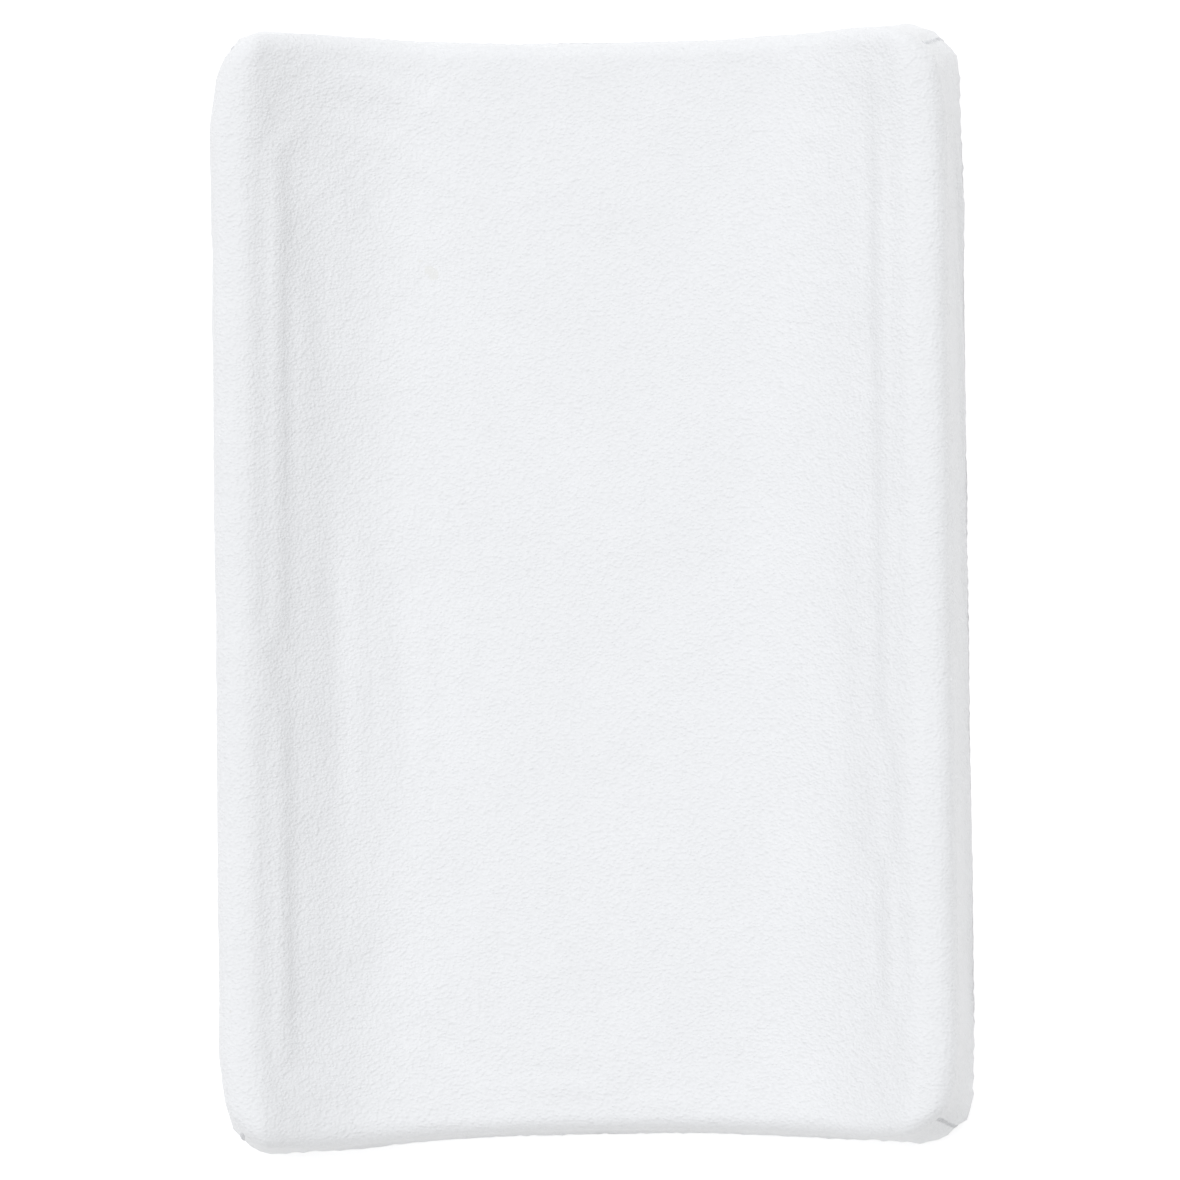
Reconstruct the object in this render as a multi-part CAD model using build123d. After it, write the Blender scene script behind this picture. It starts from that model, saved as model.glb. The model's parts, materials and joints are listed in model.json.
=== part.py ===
"""Contoured baby changing pad with a fitted terry cover.

A foam slab carries a raised foam bolster along each long side, so that the baby lies in the
dish between them. A fibre wrap softens the foam, and a wipe-clean liner in four panels closes
over it with a zip down the underside. A one-piece terry cover is stretched over the pad and
held by an elastic hem that turns under the base.

Millimetres. X is the width, Y the length towards the head end, and Z is up. The origin is at
the middle of the footprint, on the surface that the pad lies on.
"""

import os

from build123d import *

# ---- overall size ----
PAD_WIDTH = 500.0
PAD_LENGTH = 750.0
RIDGE_HEIGHT = 100.0  # floor to the crest of a side bolster
DISH_HEIGHT = 48.0  # floor to the lying surface
UNDERSIDE_Z = 4.4  # floor to the part of the cover that is turned under

# ---- outer shape ----
DISH_HALF_WIDTH = 156.0  # where the lying surface meets the bolster's slope, before rounding
CREST_INNER_X = 215.0  # where the slope meets the flat crest, before rounding
DISH_RADIUS = 70.0
CREST_INNER_RADIUS = 22.0
RIM_RADIUS = 14.0  # round-over of the whole top edge
FOOT_RADIUS = 7.0  # round-under of the whole bottom edge
CORNER_RADIUS = 36.0  # in plan
WALL_LEAN = 5.0  # degrees that the side walls lean in
OVERRUN = 60.0  # how far cutting shapes reach past what they cut

# ---- layers ----
COVER_THICKNESS = 2.4
LINER_THICKNESS = 0.8
WRAP_THICKNESS = 6.0

# ---- underside of the pad, inside the elastic hem ----
PLATEAU_Z = 1.4
PLATEAU_HALF_WIDTH = 184.0
PLATEAU_HALF_LENGTH = 309.0
PLATEAU_CORNER = 64.0
CHANNEL_Z = 10.0  # roof of the channel that the zip lies in
CHANNEL_HALF_WIDTH = 24.0
CHANNEL_HALF_LENGTH = 285.0
LINER_SEAM_Z = 22.0  # where the side band meets the base panels
LINER_TOP_SEAM_INSET = 10.0  # from the foot of the wall in to the top panel's seam

# ---- elastic hem of the cover ----
HEM_HALF_WIDTH = 190.0
HEM_HALF_LENGTH = 315.0
HEM_CORNER = 70.0
CASING_WIDTH = 16.0
CASING_BOTTOM_Z = 1.2
ELASTIC_INSET = 4.0  # from each edge of the casing
ELASTIC_BOTTOM_Z = 3.2

# ---- corner seams of the cover ----
SEAM_THICKNESS = 1.6
SEAM_LOW_Z = 12.0
SEAM_HIGH_Z = 82.0

# ---- foam ----
BOLSTER_INNER_X = 132.0
BOLSTER_SEAT_Z = 30.0

# ---- grip pads and label ----
GRIP_SIZE = (120.0, 450.0)
GRIP_CORNER = 12.0
LABEL_SIZE = (32.0, 46.0)
LABEL_THICKNESS = 0.4
LABEL_X = 128.0
LABEL_BOTTOM_Z = 0.6
LABEL_TUCK = 8.0  # how far the label runs under the hem

# ---- zip ----
TOOTH_PITCH = 4.0
TEETH_PER_SIDE = 131
CHAIN_HALF_WIDTH = 2.9
TOOTH_OVERLAP = 0.7  # how far a tooth reaches past the middle of the chain
TOOTH_LENGTH = 1.7
TOOTH_THICKNESS = 2.4
TAPE_INNER_X = 1.6
TAPE_OUTER_X = 16.0
TAPE_THICKNESS = 0.8
SLOT_HALF_WIDTH = 9.0
SLOT_HALF_LENGTH = 276.0
TAPE_HALF_LENGTH = 281.0

SLIDER_SIZE = (10.4, 14.0)
SLIDER_CORNER = 2.6
SLIDER_CAVITY = 2.9  # clear height over the teeth
SLIDER_PLATE = 1.0
SLIDER_FLANGE_X = 3.8  # inner face of a side flange
SLIDER_FLANGE_GAP = 1.3  # clear height over the tape
WEDGE_HALF_WIDTH = 1.1
WEDGE_LENGTH = 2.0
WEDGE_SETBACK = 0.6
SLIDER_TO_STOP = 0.4
STOP_LENGTH = 2.4

PIN_RADIUS = 0.7
PIN_DROP = 1.9  # from the slider's outer plate down to the pin's axis
LUG_INNER_X = 2.6
LUG_THICKNESS = 1.0
LUG_RADIUS = 1.3
EYE_RADIUS = 1.6
EYE_CLEARANCE = 0.08
EYE_HALF_WIDTH = 2.4
TAB_LENGTH = 27.0
TAB_WIDTH = 8.0
TAB_THICKNESS = 1.2
TAB_NECK = 5.0  # from the pin's axis to where the tab widens

ZIP_Z = CHANNEL_Z + LINER_THICKNESS + TAPE_THICKNESS / 2
ZIP_HALF = TOOTH_PITCH * (TEETH_PER_SIDE - 1) / 2 + TOOTH_LENGTH / 2
SLIDER_NOSE_Y = ZIP_HALF + WEDGE_LENGTH + 2 * WEDGE_SETBACK
SLIDER_MID_Y = SLIDER_NOSE_Y - SLIDER_SIZE[1] / 2
SLIDER_OUTER_Z = ZIP_Z - SLIDER_CAVITY / 2 - SLIDER_PLATE
PIN_Z = SLIDER_OUTER_Z - PIN_DROP
TALL = RIDGE_HEIGHT + OVERRUN


def block(x_low, x_high, y_low, y_high, z_low, z_high):
    """A box given by its limits."""
    size = (x_high - x_low, y_high - y_low, z_high - z_low)
    middle = ((x_low + x_high) / 2, (y_low + y_high) / 2, (z_low + z_high) / 2)
    return Pos(*middle) * Box(*size)


def rounded_block(half_width, half_length, radius, z_low, z_high):
    """An upright block with a rounded rectangle for a plan."""
    plan = RectangleRounded(2 * half_width, 2 * half_length, radius)
    return extrude(Pos(0, 0, z_low) * plan, amount=z_high - z_low)


def contour(inset):
    """The pad's cross-section as a bar along Y: flat below, dished above, inset all round."""
    reach = PAD_WIDTH / 2 + OVERRUN
    right = [
        (reach, UNDERSIDE_Z),
        (reach, RIDGE_HEIGHT),
        (CREST_INNER_X, RIDGE_HEIGHT),
        (DISH_HALF_WIDTH, DISH_HEIGHT),
    ]
    left = [(-x, z) for x, z in reversed(right)]
    radii = [0, 0, CREST_INNER_RADIUS, DISH_RADIUS]
    outline = FilletPolyline(*right, *left, radius=radii + radii[::-1], close=True)
    profile = offset(make_face(outline), amount=-inset, kind=Kind.INTERSECTION)
    upright = Plane.XZ * profile
    return extrude(upright, amount=PAD_LENGTH / 2 + OVERRUN, both=True)


def envelope(inset):
    """The covered pad's outer shape, moved in by inset on every side."""
    plan = RectangleRounded(PAD_WIDTH - 2 * inset, PAD_LENGTH - 2 * inset, CORNER_RADIUS - inset)
    walls = extrude(Pos(0, 0, UNDERSIDE_Z) * plan, amount=TALL, taper=WALL_LEAN)
    body = (walls & contour(inset)).solids()[0]
    body = fillet(rim_edges(body, inset), RIM_RADIUS - inset)
    foot = body.edges().filter_by_position(Axis.Z, UNDERSIDE_Z, UNDERSIDE_Z + inset + 0.01)
    foot_radius = FOOT_RADIUS - inset
    return fillet(foot, foot_radius) if foot_radius > 1 else body


def rim_edges(body, inset):
    """The chain of edges round the top of the walls."""
    half_width = PAD_WIDTH / 2 - inset - OVERRUN / 4
    half_length = PAD_LENGTH / 2 - inset - OVERRUN / 4
    rim = []
    for edge in body.edges():
        middle, box = edge @ 0.5, edge.bounding_box()
        near_wall = abs(middle.X) > half_width or abs(middle.Y) > half_length
        upright = box.size.Z > DISH_HEIGHT / 2 and box.size.X < CORNER_RADIUS / 2
        if near_wall and not upright and box.min.Z > DISH_HEIGHT - inset - 1:
            rim.append(edge)
    return rim


def pad_body(inset):
    """The pad without its cover: the envelope, with two plateaus that bulge through the hem."""
    body = envelope(COVER_THICKNESS + inset)
    plateau = rounded_block(
        PLATEAU_HALF_WIDTH - inset,
        PLATEAU_HALF_LENGTH - inset,
        PLATEAU_CORNER - inset,
        PLATEAU_Z + inset,
        DISH_HEIGHT / 2,
    )
    half_width, half_length = CHANNEL_HALF_WIDTH + inset, CHANNEL_HALF_LENGTH + inset
    channel = block(-half_width, half_width, -half_length, half_length, -1, CHANNEL_Z + inset)
    return (body + plateau) - channel


def cover():
    """The terry shell and the four sewn corner seams that are part of its wall."""
    opening = rounded_block(HEM_HALF_WIDTH, HEM_HALF_LENGTH, HEM_CORNER, -1, DISH_HEIGHT / 2)
    shell = envelope(0) - envelope(COVER_THICKNESS) - opening
    seams = []
    for side in (1, -1):
        for end in (1, -1):
            centre = (side * (PAD_WIDTH / 2 - CORNER_RADIUS), end * (PAD_LENGTH / 2 - CORNER_RADIUS))
            fin = block(0, OVERRUN, -SEAM_THICKNESS / 2, SEAM_THICKNESS / 2, SEAM_LOW_Z, SEAM_HIGH_Z)
            turn = Rot(0, 0, end * (45 if side > 0 else 135))
            seams += (shell & (Pos(*centre, 0) * turn * fin)).solids()
    for seam in seams:
        shell -= seam
    return shell, seams


def hem():
    """The hem's casing, sewn under the cover's edge, and the flat elastic inside it."""
    def ring(inner, outer, z_low, z_high):
        outside = rounded_block(
            HEM_HALF_WIDTH + outer, HEM_HALF_LENGTH + outer, HEM_CORNER + outer, z_low, z_high
        )
        inside = rounded_block(
            HEM_HALF_WIDTH + inner, HEM_HALF_LENGTH + inner, HEM_CORNER + inner, z_low, z_high
        )
        return outside - inside

    elastic = ring(ELASTIC_INSET, CASING_WIDTH - ELASTIC_INSET, ELASTIC_BOTTOM_Z, UNDERSIDE_Z)
    casing = ring(0, CASING_WIDTH, CASING_BOTTOM_Z, UNDERSIDE_Z) - elastic
    return casing, elastic


def care_label():
    """A blank satin label, tucked under the hem at the foot end."""
    width, length = LABEL_SIZE
    foot = -HEM_HALF_LENGTH - LABEL_TUCK
    return block(
        LABEL_X - width / 2,
        LABEL_X + width / 2,
        foot,
        foot + length,
        LABEL_BOTTOM_Z,
        LABEL_BOTTOM_Z + LABEL_THICKNESS,
    )


def liner():
    """The wipe-clean liner: a top panel, a band round the sides and two base panels."""
    skin = pad_body(0) - pad_body(LINER_THICKNESS)
    seam_inset = COVER_THICKNESS + LINER_TOP_SEAM_INSET
    inside_seam = rounded_block(
        PAD_WIDTH / 2 - seam_inset,
        PAD_LENGTH / 2 - seam_inset,
        CORNER_RADIUS - LINER_TOP_SEAM_INSET,
        LINER_SEAM_Z,
        TALL,
    )
    far = PAD_LENGTH
    upper = block(-far, far, -far, far, LINER_SEAM_Z, TALL)
    slot = block(
        -SLOT_HALF_WIDTH, SLOT_HALF_WIDTH, -SLOT_HALF_LENGTH, SLOT_HALF_LENGTH, 0, LINER_SEAM_Z
    )
    base = skin - upper - slot
    return {
        "liner_top_panel": skin & inside_seam,
        "liner_side_band": (skin & upper) - inside_seam,
        "liner_base_left": base & block(-far, 0, -far, far, 0, LINER_SEAM_Z),
        "liner_base_right": base & block(0, far, -far, far, 0, LINER_SEAM_Z),
    }


def filling():
    """The fibre wrap and, inside it, the foam slab with a bolster let into each side."""
    core = pad_body(LINER_THICKNESS + WRAP_THICKNESS)
    wrap = pad_body(LINER_THICKNESS) - core
    tape_room = block(
        -TAPE_OUTER_X,
        TAPE_OUTER_X,
        -TAPE_HALF_LENGTH,
        TAPE_HALF_LENGTH,
        0,
        ZIP_Z + TAPE_THICKNESS / 2,
    )
    slider_room = block(
        -SLIDER_SIZE[0] / 2 - 1,
        SLIDER_SIZE[0] / 2 + 1,
        -TAPE_HALF_LENGTH,
        TAPE_HALF_LENGTH,
        0,
        ZIP_Z + SLIDER_CAVITY / 2 + SLIDER_PLATE + 0.6,
    )
    far = PAD_LENGTH
    seats = {
        "foam_bolster_left": block(-far, -BOLSTER_INNER_X, -far, far, BOLSTER_SEAT_Z, TALL),
        "foam_bolster_right": block(BOLSTER_INNER_X, far, -far, far, BOLSTER_SEAT_Z, TALL),
    }
    pieces = {name: core & seat for name, seat in seats.items()}
    slab = core
    for seat in seats.values():
        slab = slab - seat
    return {"fibre_wrap": wrap - tape_room - slider_room, "foam_slab": slab, **pieces}


def grip_pad(side):
    """One non-slip patch under a plateau."""
    middle_x = side * (CHANNEL_HALF_WIDTH + PLATEAU_HALF_WIDTH) / 2
    plan = RectangleRounded(*GRIP_SIZE, GRIP_CORNER)
    return extrude(Pos(middle_x, 0, 0) * plan, amount=PLATEAU_Z)


def zip_tape(side):
    """One woven tape, under the edge of its base panel."""
    low, high = sorted((side * TAPE_INNER_X, side * TAPE_OUTER_X))
    half = TAPE_THICKNESS / 2
    return block(low, high, -TAPE_HALF_LENGTH, TAPE_HALF_LENGTH, ZIP_Z - half, ZIP_Z + half)


def zip_teeth(side):
    """One side's moulded teeth, each clasping the edge of its tape."""
    tape = zip_tape(side)
    low, high = sorted((-side * TOOTH_OVERLAP, side * CHAIN_HALF_WIDTH))
    half_length, half_height = TOOTH_LENGTH / 2, TOOTH_THICKNESS / 2
    tooth = block(low, high, -half_length, half_length, ZIP_Z - half_height, ZIP_Z + half_height)
    tooth = (tooth - tape).solids()[0]
    stagger = 0 if side > 0 else TOOTH_PITCH / 2
    count = TEETH_PER_SIDE if side > 0 else TEETH_PER_SIDE - 1
    start = -ZIP_HALF + TOOTH_LENGTH / 2 + stagger
    return [tooth.moved(Pos(0, start + i * TOOTH_PITCH, 0)) for i in range(count)]


def zip_stops():
    """A stop on each tape at the head end, and one across both tapes at the foot end."""
    tapes = zip_tape(1) + zip_tape(-1)
    half_height = TOOTH_THICKNESS / 2
    z_range = (ZIP_Z - half_height, ZIP_Z + half_height)
    head = SLIDER_NOSE_Y + SLIDER_TO_STOP
    foot = -ZIP_HALF - SLIDER_TO_STOP
    gap = TAPE_INNER_X / 2
    stops = [
        block(gap, CHAIN_HALF_WIDTH + gap, head, head + STOP_LENGTH, *z_range),
        block(-CHAIN_HALF_WIDTH - gap, -gap, head, head + STOP_LENGTH, *z_range),
        block(-CHAIN_HALF_WIDTH, CHAIN_HALF_WIDTH, foot - STOP_LENGTH, foot, *z_range),
    ]
    return [solid for stop in stops for solid in (stop - tapes).solids()]


def zip_slider():
    """Two plates joined by a wedge, with flanges over the tapes and lugs for the pull."""
    width, length = SLIDER_SIZE
    half_cavity = SLIDER_CAVITY / 2
    plan = RectangleRounded(width, length, SLIDER_CORNER)
    body = extrude(
        Pos(0, SLIDER_MID_Y, SLIDER_OUTER_Z) * plan, amount=SLIDER_CAVITY + 2 * SLIDER_PLATE
    )
    y_range = (SLIDER_MID_Y - length, SLIDER_MID_Y + length)
    body -= block(
        -SLIDER_FLANGE_X, SLIDER_FLANGE_X, *y_range, ZIP_Z - half_cavity, ZIP_Z + half_cavity
    )
    half_gap = SLIDER_FLANGE_GAP / 2
    body -= block(-width, width, *y_range, ZIP_Z - half_gap, ZIP_Z + half_gap)
    wedge_front = SLIDER_NOSE_Y - WEDGE_SETBACK
    body += block(
        -WEDGE_HALF_WIDTH,
        WEDGE_HALF_WIDTH,
        wedge_front - WEDGE_LENGTH,
        wedge_front,
        ZIP_Z - half_cavity,
        ZIP_Z + half_cavity,
    )
    for side in (1, -1):
        middle_x = side * (LUG_INNER_X + LUG_THICKNESS / 2)
        lug = block(
            middle_x - LUG_THICKNESS / 2,
            middle_x + LUG_THICKNESS / 2,
            SLIDER_MID_Y - LUG_RADIUS,
            SLIDER_MID_Y + LUG_RADIUS,
            PIN_Z,
            SLIDER_OUTER_Z,
        )
        body += lug + along_x(LUG_RADIUS, LUG_THICKNESS, middle_x)
    return body - along_x(PIN_RADIUS, 2 * width, 0)


def along_x(radius, length, middle_x):
    """A round bar along X on the pull tab's hinge line."""
    return Pos(middle_x, SLIDER_MID_Y, PIN_Z) * Rot(0, 90, 0) * Cylinder(radius, length)


def pull_pin():
    """The pin across the slider's lugs."""
    return along_x(PIN_RADIUS, 2 * (LUG_INNER_X + LUG_THICKNESS), 0)


def pull_tab():
    """The flat pull tab, hinged on the pin by a round eye."""
    half = TAB_THICKNESS / 2
    neck_y = SLIDER_MID_Y - TAB_NECK
    end_y = SLIDER_MID_Y - TAB_LENGTH
    neck = block(-EYE_HALF_WIDTH, EYE_HALF_WIDTH, neck_y - 1, SLIDER_MID_Y, PIN_Z - half, PIN_Z + half)
    leaf_plan = RectangleRounded(TAB_WIDTH, neck_y - end_y, TAB_WIDTH / 2 - 0.4)
    leaf = extrude(Pos(0, (neck_y + end_y) / 2, PIN_Z - half) * leaf_plan, amount=TAB_THICKNESS)
    slot_plan = RectangleRounded(TAB_WIDTH / 2, TAB_LENGTH / 3, TAB_WIDTH / 4 - 0.1)
    slot = extrude(Pos(0, end_y + TAB_LENGTH / 3, PIN_Z - 1) * slot_plan, amount=2)
    eye = along_x(EYE_RADIUS, 2 * EYE_HALF_WIDTH, 0)
    bore = along_x(PIN_RADIUS + EYE_CLEARANCE, 4 * EYE_HALF_WIDTH, 0)
    return neck + leaf + eye - slot - bore


def write(name, shape):
    """Writes one node's solids to its own file."""
    solids = shape if isinstance(shape, list) else shape.solids()
    export_step(Compound(children=list(solids)), f"parts/{name}.step")


def main():
    os.makedirs("parts", exist_ok=True)
    shell, seams = cover()
    casing, elastic = hem()
    pieces = {
        "terry_cover": shell,
        "cover_corner_seams": seams,
        "hem_casing": casing,
        "hem_elastic": elastic,
        "care_label": care_label(),
        **liner(),
        **filling(),
        "zip_stops": zip_stops(),
        "zip_slider": zip_slider(),
        "zip_pull_pin": pull_pin(),
        "zip_pull_tab": pull_tab(),
    }
    for name, side in (("left", -1), ("right", 1)):
        pieces[f"grip_pad_{name}"] = grip_pad(side)
        pieces[f"zip_tape_{name}"] = zip_tape(side)
        pieces[f"zip_teeth_{name}"] = zip_teeth(side)
    for name, shape in pieces.items():
        write(name, shape)


main()
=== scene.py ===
"""Looks of a contoured changing pad in a fitted terry cover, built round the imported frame.

Metres, in the frame's own axes: X is the width, Y the length towards the head end, Z is up.
"""

import json
import math

import bpy
import numpy as np
from mathutils import Euler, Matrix, Vector, kdtree, noise


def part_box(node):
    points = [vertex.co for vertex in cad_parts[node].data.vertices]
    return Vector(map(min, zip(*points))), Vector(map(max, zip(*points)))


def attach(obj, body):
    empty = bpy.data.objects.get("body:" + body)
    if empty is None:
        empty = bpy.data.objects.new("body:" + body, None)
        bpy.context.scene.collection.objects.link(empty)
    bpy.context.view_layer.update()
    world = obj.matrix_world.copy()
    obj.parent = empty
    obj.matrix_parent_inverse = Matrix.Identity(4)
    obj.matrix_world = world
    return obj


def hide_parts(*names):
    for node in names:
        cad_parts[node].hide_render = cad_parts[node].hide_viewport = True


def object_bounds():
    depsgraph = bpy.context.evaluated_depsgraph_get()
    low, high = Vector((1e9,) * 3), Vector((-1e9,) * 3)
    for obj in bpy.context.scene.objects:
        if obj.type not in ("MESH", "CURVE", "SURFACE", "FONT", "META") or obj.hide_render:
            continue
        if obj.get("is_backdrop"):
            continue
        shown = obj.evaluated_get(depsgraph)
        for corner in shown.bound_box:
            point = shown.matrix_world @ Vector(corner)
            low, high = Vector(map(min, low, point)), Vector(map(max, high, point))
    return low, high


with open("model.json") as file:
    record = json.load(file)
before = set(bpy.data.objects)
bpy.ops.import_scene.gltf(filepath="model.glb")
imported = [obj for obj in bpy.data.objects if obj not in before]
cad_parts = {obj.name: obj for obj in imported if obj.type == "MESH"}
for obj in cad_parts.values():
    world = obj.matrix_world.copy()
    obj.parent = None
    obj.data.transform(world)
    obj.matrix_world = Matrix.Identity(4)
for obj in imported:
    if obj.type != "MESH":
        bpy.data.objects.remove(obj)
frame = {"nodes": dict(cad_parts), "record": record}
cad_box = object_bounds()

COVER_LOW, COVER_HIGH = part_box("terry_cover")

# ---- outer shape of the covered pad ----
UNDER_Z = COVER_LOW.z
RIDGE_Z = COVER_HIGH.z
DISH_Z = 0.048
DISH_X = 0.156  # where the lying surface meets the side's slope, before rounding
CREST_X = 0.215  # where the slope meets the crest, before rounding
DISH_RADIUS = 0.070
BRIDGED_RADIUS = 0.185  # the same corner where the cover spans it like a hammock
CREST_RADIUS = 0.022
RIM_RADIUS = 0.014
FOOT_RADIUS = 0.007
PLAN_CORNER = 0.036
LEAN = math.radians(5)
CORNER_EASE = 0.008  # how far the soft stuffing draws the top of a corner in
CORNER_DROP = 0.003
END_BOW = 0.011  # how far the middle of an end is drawn in
END_SKEW = 0.004  # the left side lies this much fuller than the middle, and the right side less
END_ZONE = 0.045

COVER_THICKNESS = 0.0024
LINER_THICKNESS = 0.0008
WRAP_THICKNESS = 0.006

RIM_REACH = RIM_RADIUS / math.tan(math.radians(45) + LEAN / 2)
FOOT_REACH = FOOT_RADIUS / math.tan(math.radians(45) - LEAN / 2)
HALF_WIDTH = COVER_HIGH.x + FOOT_REACH - FOOT_RADIUS
HALF_LENGTH = COVER_HIGH.y + FOOT_REACH - FOOT_RADIUS

# ---- hem opening under the pad ----
CASING_LOW, CASING_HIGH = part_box("hem_casing")
CASING_WIDTH = 0.016
HEM_X = CASING_HIGH.x - CASING_WIDTH
HEM_Y = CASING_HIGH.y - CASING_WIDTH
HEM_CORNER = 0.070

# ---- mesh fineness ----
CELL = 0.004
CORNER_CELLS = 4
RIM_RINGS = 6
WALL_RINGS = 14
FOOT_RINGS = 4
UNDER_RINGS = 12


# ------------------------------------------------------------------ mesh helpers

def smooth_step(value, low, high):
    """0 below low, 1 above high, and a smooth rise between them."""
    t = np.clip((value - low) / (high - low), 0, 1)
    return t * t * (3 - 2 * t)


def make_object(name, points, faces):
    """A smooth-shaded mesh object from points and faces."""
    mesh = bpy.data.meshes.new(name)
    mesh.from_pydata([tuple(p) for p in points], [], [tuple(f) for f in faces])
    mesh.validate()
    mesh.polygons.foreach_set("use_smooth", [True] * len(mesh.polygons))
    piece = bpy.data.objects.new(name, mesh)
    bpy.context.scene.collection.objects.link(piece)
    return piece


def apply_modifiers(piece):
    """Bakes a piece's modifiers into its mesh."""
    graph = bpy.context.evaluated_depsgraph_get()
    baked = bpy.data.meshes.new_from_object(piece.evaluated_get(graph))
    piece.modifiers.clear()
    piece.data = baked
    return piece


def thicken(piece, thickness, offset=-1):
    """Gives an open sheet its thickness, inwards from the side that its normals point to."""
    solid = piece.modifiers.new("thickness", "SOLIDIFY")
    solid.thickness = thickness
    solid.offset = offset
    solid.use_even_offset = True
    return apply_modifiers(piece)


def points_of(piece):
    """A piece's points as an array."""
    points = np.zeros(len(piece.data.vertices) * 3)
    piece.data.vertices.foreach_get("co", points)
    return points.reshape(-1, 3)


def normals_of(piece):
    """A piece's point normals as an array."""
    normals = np.zeros(len(piece.data.vertices) * 3)
    piece.data.vertices.foreach_get("normal", normals)
    return normals.reshape(-1, 3)


def set_points(piece, points):
    """Moves a piece's points."""
    piece.data.vertices.foreach_set("co", np.asarray(points, np.float32).ravel())
    piece.data.update()
    return piece


def unevenness(points, size, seed):
    """Smooth noise from about -1 to 1 at each point, with lumps of about the given size."""
    shift = Vector((seed * 3.1, seed * 1.7, seed * 2.3))
    return np.array([noise.noise(Vector(p) / size + shift) for p in points])


def place(piece, slot, replaced=(), body="pad"):
    """Gives a finished piece its body and its slot's material, and hides the nodes that it stands
    for.
    """
    piece.data.materials.clear()
    piece.data.materials.append(MATERIALS[slot])
    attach(piece, body)
    if replaced:
        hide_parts(*replaced)
    return piece


# ------------------------------------------------------------------ the covered pad's surface

def contour_height(x, dish_radius=DISH_RADIUS):
    """The pad's height across its width: a flat dish, a slope each side, and a crest."""
    x = np.abs(x)
    slope = math.atan2(RIDGE_Z - DISH_Z, CREST_X - DISH_X)
    dish_reach = dish_radius * math.tan(slope / 2)
    crest_reach = CREST_RADIUS * math.tan(slope / 2)
    dish_start = DISH_X - dish_reach
    crest_end = CREST_X + crest_reach
    dish_arc = dish_radius**2 - np.clip(x - dish_start, 0, dish_radius) ** 2
    crest_arc = CREST_RADIUS**2 - np.clip(crest_end - x, 0, CREST_RADIUS) ** 2
    return np.select(
        [
            x <= dish_start,
            x <= DISH_X + dish_reach * math.cos(slope),
            x <= CREST_X - crest_reach * math.cos(slope),
            x <= crest_end,
        ],
        [
            DISH_Z,
            DISH_Z + dish_radius - np.sqrt(dish_arc),
            DISH_Z + (x - DISH_X) * math.tan(slope),
            RIDGE_Z - CREST_RADIUS + np.sqrt(crest_arc),
        ],
        RIDGE_Z,
    )


def cover_height(x, y):
    """The contour with the cover bridging the foot of each slope, most of all at the left ends."""
    end = HALF_LENGTH - np.abs(y)
    left = 0.22 + 0.78 * (1 - smooth_step(end, 0.01, 0.13))
    right = 0.06 + 0.30 * (1 - smooth_step(end, 0.01, 0.07))
    share = np.where(x < 0, left, right)
    tight = contour_height(x)
    return tight + share * (contour_height(x, BRIDGED_RADIUS) - tight)


def settle(points):
    """The soft pad's ease: rounder upper corners, and ends drawn in at their middle."""
    x, y, z = np.array(points, float).T
    corner = np.hypot(HALF_WIDTH - np.abs(x), HALF_LENGTH - np.abs(y))
    share = (1 - smooth_step(corner, 0.0, 0.085)) * smooth_step(z, 0.020, 0.080)
    middle = np.clip(1 - (x / CREST_X) ** 2, 0, 1)
    near_end = smooth_step(np.abs(y), HALF_LENGTH - END_ZONE, HALF_LENGTH - END_ZONE / 9)
    bow = near_end * (END_BOW * middle + END_SKEW * x / HALF_WIDTH)
    return np.column_stack([
        x - np.sign(x) * CORNER_EASE * share,
        y - np.sign(y) * (CORNER_EASE * share + bow),
        z - CORNER_DROP * share,
    ])


def nearest_on_rounded(points, half_x, half_y, radius):
    """The nearest points on a rounded rectangle to points outside it."""
    core = np.stack([half_x - radius, half_y - radius])
    inner = np.clip(points, -core, core)
    away = points - inner
    return inner + radius * away / np.linalg.norm(away, axis=1, keepdims=True)


def plan_grid(half_x, half_y, radius, cell):
    """A grid of plan points that fills a rounded rectangle, and the outward way at its edge.

    The grid's corner squares are bent into quarter discs, so its rows stay even.
    """
    def ticks(half):
        straight = half - radius
        count = 2 * max(1, round(straight / cell))
        corner = np.linspace(0, radius, CORNER_CELLS + 1)[1:]
        middle = np.linspace(-straight, straight, count + 1)
        return np.concatenate([-straight - corner[::-1], middle, straight + corner])

    x, y = np.meshgrid(ticks(half_x), ticks(half_y), indexing="ij")
    p = np.clip((np.abs(x) - half_x + radius) / radius, 0, 1)
    q = np.clip((np.abs(y) - half_y + radius) / radius, 0, 1)
    bent_p = p * np.sqrt(1 - q**2 / 2)
    bent_q = q * np.sqrt(1 - p**2 / 2)
    in_corner = (p > 0) & (q > 0)
    bent_x = np.sign(x) * (half_x - radius + radius * bent_p)
    bent_y = np.sign(y) * (half_y - radius + radius * bent_q)
    plan = np.stack([np.where(in_corner, bent_x, x), np.where(in_corner, bent_y, y)], axis=-1)
    outward = np.stack([np.sign(x) * bent_p, np.sign(y) * bent_q], axis=-1)
    return plan, outward


def edge_loop(nx, ny):
    """The grid positions round a grid's edge, in order, anticlockwise from above."""
    foot = [(i, 0) for i in range(nx - 1)]
    right = [(nx - 1, j) for j in range(ny - 1)]
    head = [(i, ny - 1) for i in range(nx - 1, 0, -1)]
    left = [(0, j) for j in range(ny - 1, 0, -1)]
    return foot + right + head + left


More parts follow.
